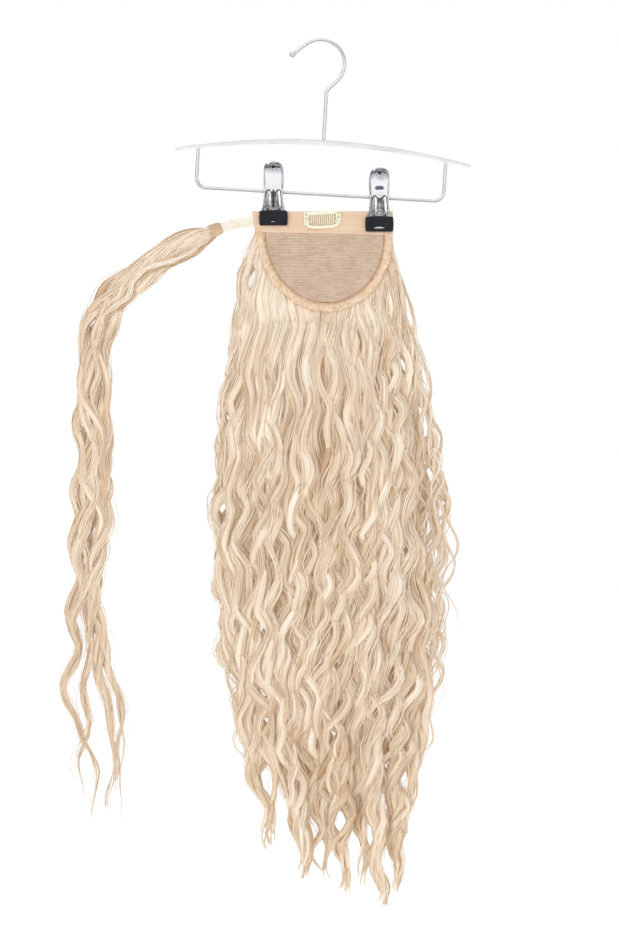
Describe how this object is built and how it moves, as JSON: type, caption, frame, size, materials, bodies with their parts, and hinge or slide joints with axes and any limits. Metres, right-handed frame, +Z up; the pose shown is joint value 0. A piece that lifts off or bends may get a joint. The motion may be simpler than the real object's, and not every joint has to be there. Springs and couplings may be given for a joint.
{
  "type": "ponytail hairpiece on a clip hanger",
  "caption": "Wrap-around ponytail hairpiece of long wavy hair on a net base with a snap comb and a strapped wrap lock, hung by spring clips from a wire hanger.",
  "frame": {"origin": "the point inside the hook, at its crest, where the hanger bears on the rail that it hangs from", "axes": "+Z up, +X to the right of someone who looks at the inner face with the comb, +Y away from that viewer, through the thickness; the hanger is tilted about Y as in the picture, its right end lower"},
  "size_m": [0.3544, 0.052, 0.7551],
  "materials": {
    "hair": "long wavy blond fibre with a soft sheen",
    "band_tape": "peach satin tape",
    "net": "fine beige net on a backing",
    "comb_enamel": "ivory enamel on steel sheet",
    "elastic": "cream woven elastic",
    "root_thread": "thread bound round the root of the lock",
    "satin_steel": "satin plated wire",
    "white_paint": "white powder coat",
    "chrome": "bright plated pressing",
    "black_rubber": "black dipped grip"
  },
  "bodies": {
    "root": {"hanger_hook": "satin_steel", "hanger_bar": "white_paint", "clip_rail": "satin_steel", "left_clip_front_jaw": "chrome", "left_clip_back_jaw": "chrome", "left_clip_spring": "satin_steel", "left_clip_front_foot": "black_rubber", "left_clip_back_foot": "black_rubber", "right_clip_front_jaw": "chrome", "right_clip_back_jaw": "chrome", "right_clip_spring": "satin_steel", "right_clip_front_foot": "black_rubber", "right_clip_back_foot": "black_rubber", "top_band": "band_tape", "base_binding": "band_tape", "net_base": "net", "snap_comb_plate": "comb_enamel", "wrap_strap": "elastic", "wrap_lock_root": "root_thread", "wrap_lock": "hair", "hair_fall": "hair"},
    "comb_bow": {"snap_comb_bow": "comb_enamel"}
  },
  "joints": [
    {"name": "comb_snap", "type": "hinge", "parent": "root", "child": "comb_bow", "pos_m": [0.00184, -0.0028, -0.1562], "axis": [-0.9986, 0, -0.0523], "range_deg": [0, 50]}
  ]
}
